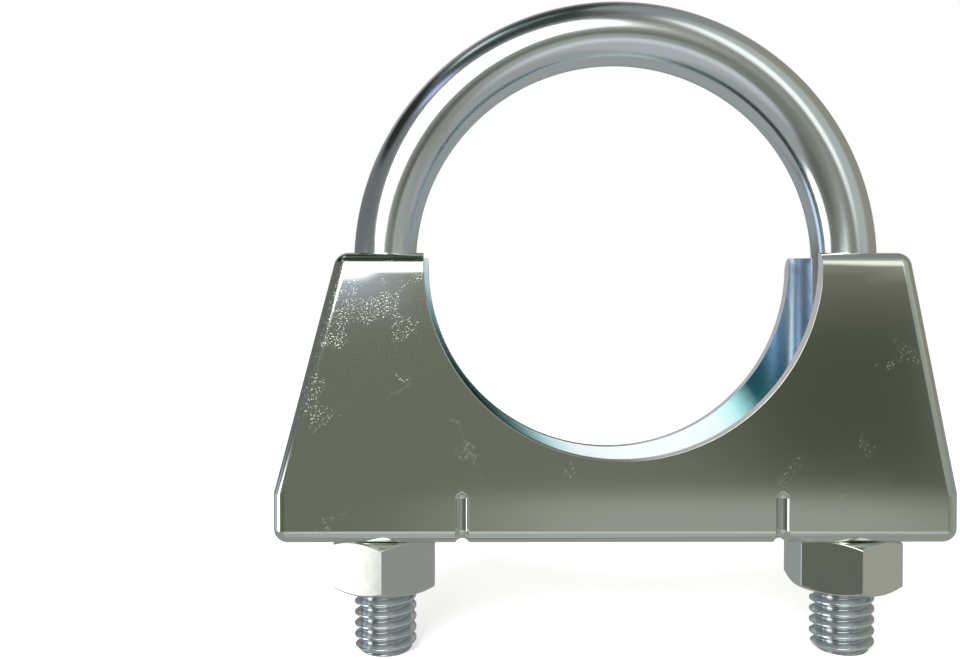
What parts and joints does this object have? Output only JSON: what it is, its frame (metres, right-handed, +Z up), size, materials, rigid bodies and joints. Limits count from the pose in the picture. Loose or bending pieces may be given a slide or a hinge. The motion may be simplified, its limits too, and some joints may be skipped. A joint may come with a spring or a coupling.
{
  "type": "u-bolt pipe clamp",
  "caption": "Round-bar U-bolt with threaded legs, pressed sheet-steel saddle that slides on the legs, and a hexagon nut under each end; bright zinc plated.",
  "frame": {"origin": "centre of the bow, on the axis of the pipe that the clamp holds", "axes": "+Y along the pipe, +X from the left leg to the right leg, +Z up from the saddle into the bow"},
  "size_m": [0.0843, 0.0146, 0.0832],
  "materials": {
    "plated_bar": "bright zinc plated round bar",
    "plated_sheet": "bright zinc plated pressed sheet",
    "plated_nut": "bright zinc plated nut"
  },
  "bodies": {
    "u_bolt": {"u_bolt": "plated_bar"},
    "saddle": {"saddle": "plated_sheet"},
    "nut_left": {"nut_left": "plated_nut"},
    "nut_right": {"nut_right": "plated_nut"}
  },
  "joints": [
    {"name": "saddle_slide", "type": "slide", "parent": "u_bolt", "child": "saddle", "axis": [0, 0, 1], "range_m": [-0.0075, 0.003]},
    {"name": "nut_left_turn", "type": "hinge", "parent": "saddle", "child": "nut_left", "pos_m": [-0.02955, 0, -0.03793], "axis": [0, 0, 1], "range_deg": [-1920, 770]},
    {"name": "nut_right_turn", "type": "hinge", "parent": "saddle", "child": "nut_right", "pos_m": [0.02955, 0, -0.03793], "axis": [0, 0, 1], "range_deg": [-1920, 770]}
  ],
  "couplings": [
    {"joint": "nut_left_turn", "follows": "saddle_slide", "rad_per_m": 4452.6},
    {"joint": "nut_right_turn", "follows": "saddle_slide", "rad_per_m": 4452.6}
  ]
}
